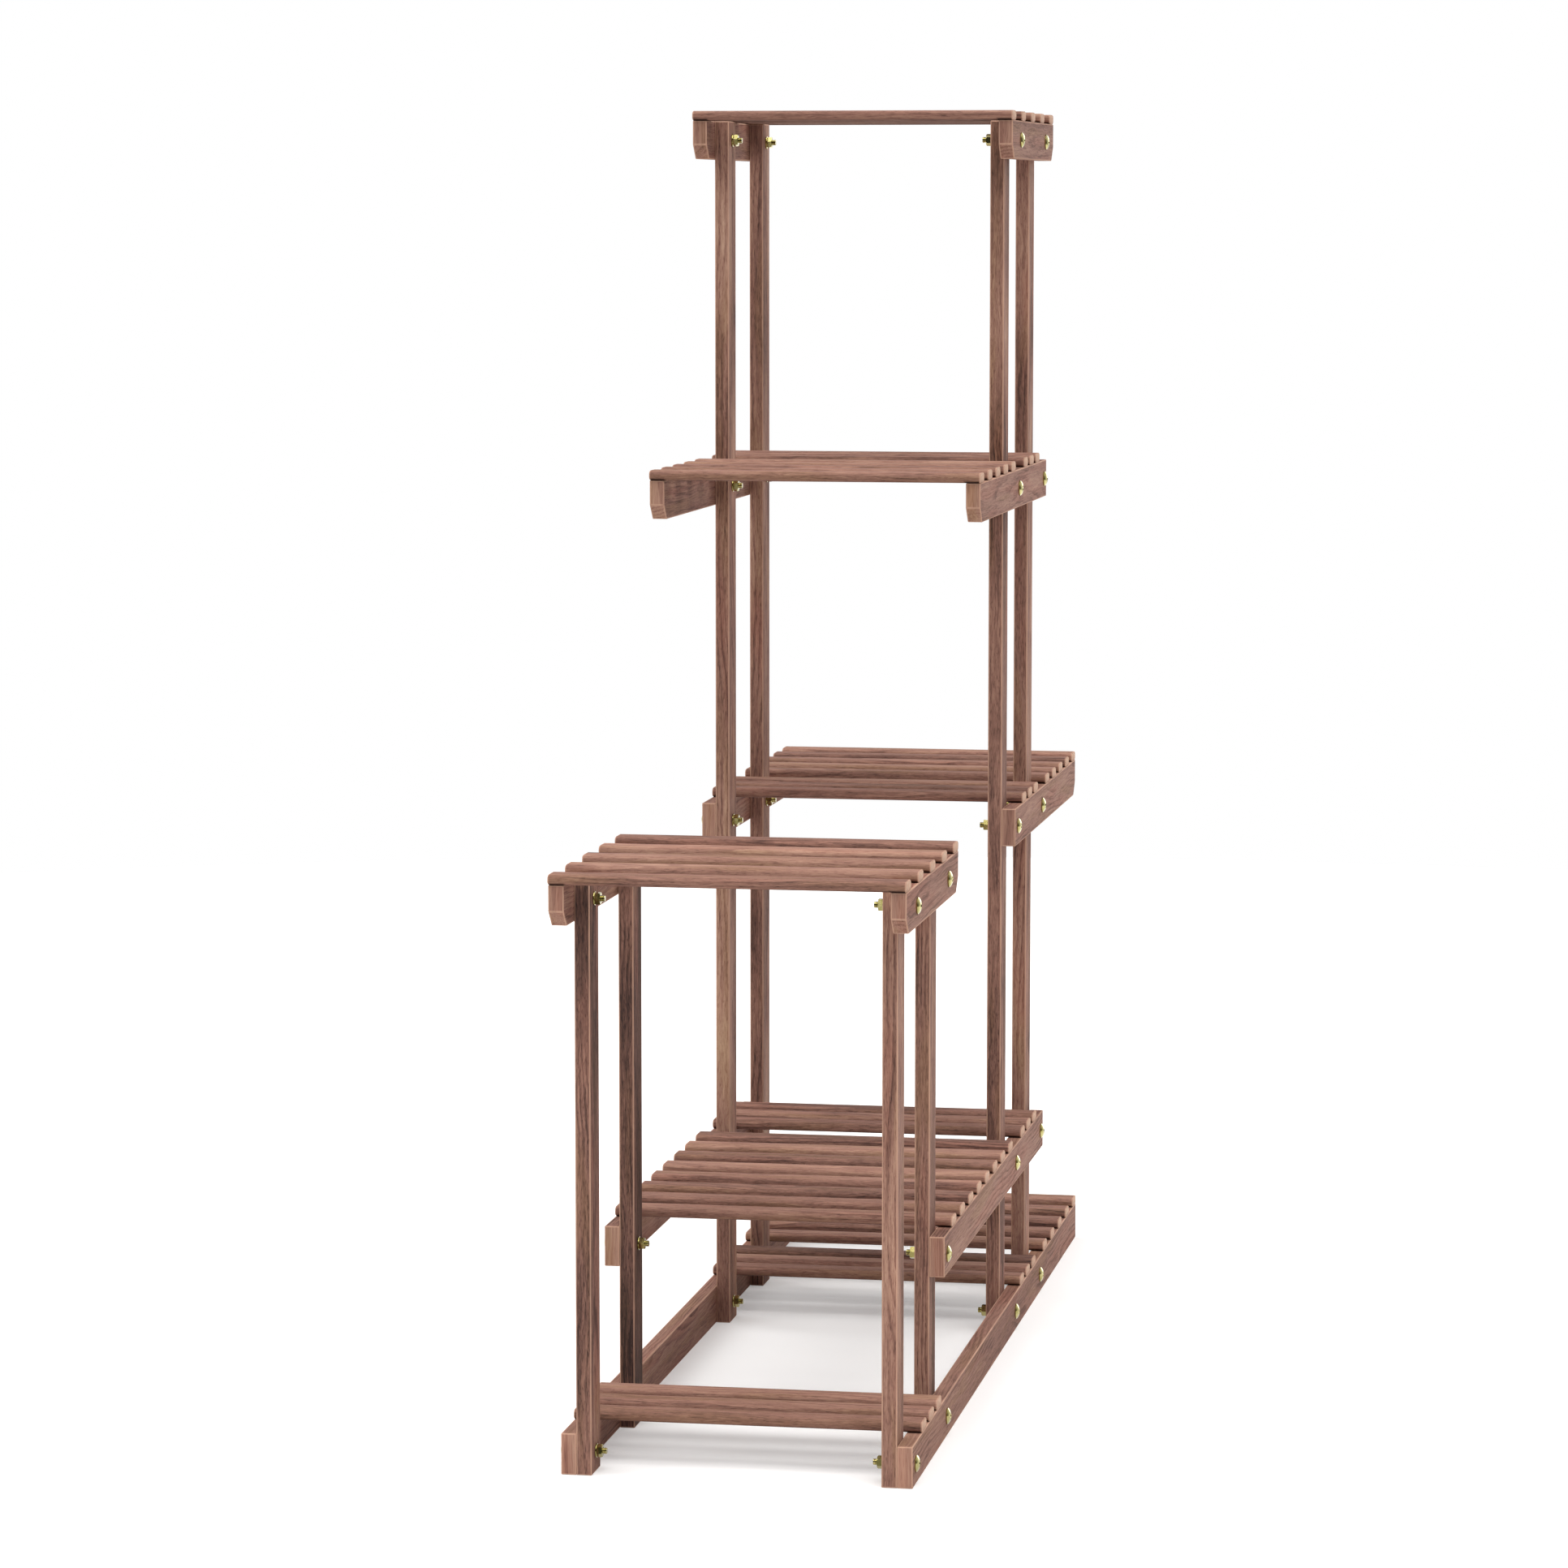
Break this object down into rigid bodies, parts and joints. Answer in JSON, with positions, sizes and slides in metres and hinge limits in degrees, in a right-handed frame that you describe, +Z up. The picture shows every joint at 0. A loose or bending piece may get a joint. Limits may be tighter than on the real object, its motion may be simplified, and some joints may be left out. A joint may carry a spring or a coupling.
{
  "type": "plant ladder stand",
  "caption": "Free-standing slatted wooden plant stand: a low and a tall post tower share the lower shelves, with cantilevered ledges and bolted crossings.",
  "frame": {"origin": "on the floor, at the middle of the stand's length and width", "axes": "+X along the rails from the low tower to the tall tower, +Y to the left side as seen from the low end, +Z up"},
  "size_m": [0.974, 0.2564, 0.9605],
  "materials": {
    "post_wood": "dark brown stain, satin, with paler planed arrises",
    "rail_wood": "brown stain, satin, with paler planed arrises",
    "slat_wood": "brown stain, satin, with pale end grain",
    "bolt_metal": "bright yellow zinc plating on the screws, washers and nuts"
  },
  "bodies": {
    "root": {"bottom_rail_left": "rail_wood", "bottom_rail_right": "rail_wood", "bottom_slat_01": "slat_wood", "bottom_slat_02": "slat_wood", "bottom_slat_03": "slat_wood", "bottom_slat_04": "slat_wood", "bottom_slat_05": "slat_wood", "bottom_slat_06": "slat_wood", "bottom_slat_07": "slat_wood", "bottom_slat_08": "slat_wood", "bottom_slat_09": "slat_wood", "bottom_slat_10": "slat_wood", "bottom_slat_11": "slat_wood", "front_ledge_rail_left": "rail_wood", "front_ledge_rail_right": "rail_wood", "front_ledge_slat_01": "slat_wood", "front_ledge_slat_02": "slat_wood", "front_ledge_slat_03": "slat_wood", "front_ledge_slat_04": "slat_wood", "front_ledge_slat_05": "slat_wood", "front_ledge_slat_06": "slat_wood", "front_ledge_slat_07": "slat_wood", "front_ledge_slat_08": "slat_wood", "low_front_post_left": "post_wood", "low_front_post_right": "post_wood", "low_rear_post_left": "post_wood", "low_rear_post_right": "post_wood", "low_top_rail_left": "rail_wood", "low_top_rail_right": "rail_wood", "low_top_slat_01": "slat_wood", "low_top_slat_02": "slat_wood", "low_top_slat_03": "slat_wood", "low_top_slat_04": "slat_wood", "low_top_slat_05": "slat_wood", "middle_rail_left_with_slats": "rail_wood", "middle_rail_right": "rail_wood", "middle_slat_09": "slat_wood", "middle_slat_10": "slat_wood", "middle_slat_11": "slat_wood", "rear_ledge_rail_left": "rail_wood", "rear_ledge_rail_right": "rail_wood", "rear_ledge_slat_01": "slat_wood", "rear_ledge_slat_02": "slat_wood", "rear_ledge_slat_03": "slat_wood", "rear_ledge_slat_04": "slat_wood", "rear_ledge_slat_05": "slat_wood", "rear_ledge_slat_06": "slat_wood", "rear_ledge_slat_07": "slat_wood", "rear_ledge_slat_08": "slat_wood", "tall_front_post_left": "post_wood", "tall_front_post_right": "post_wood", "tall_rear_post_left": "post_wood", "tall_rear_post_right": "post_wood", "top_rail_left": "rail_wood", "top_rail_right": "rail_wood", "top_slat_01": "slat_wood", "top_slat_02": "slat_wood", "top_slat_03": "slat_wood", "top_slat_04": "slat_wood", "top_slat_05": "slat_wood"}
  },
  "joints": []
}
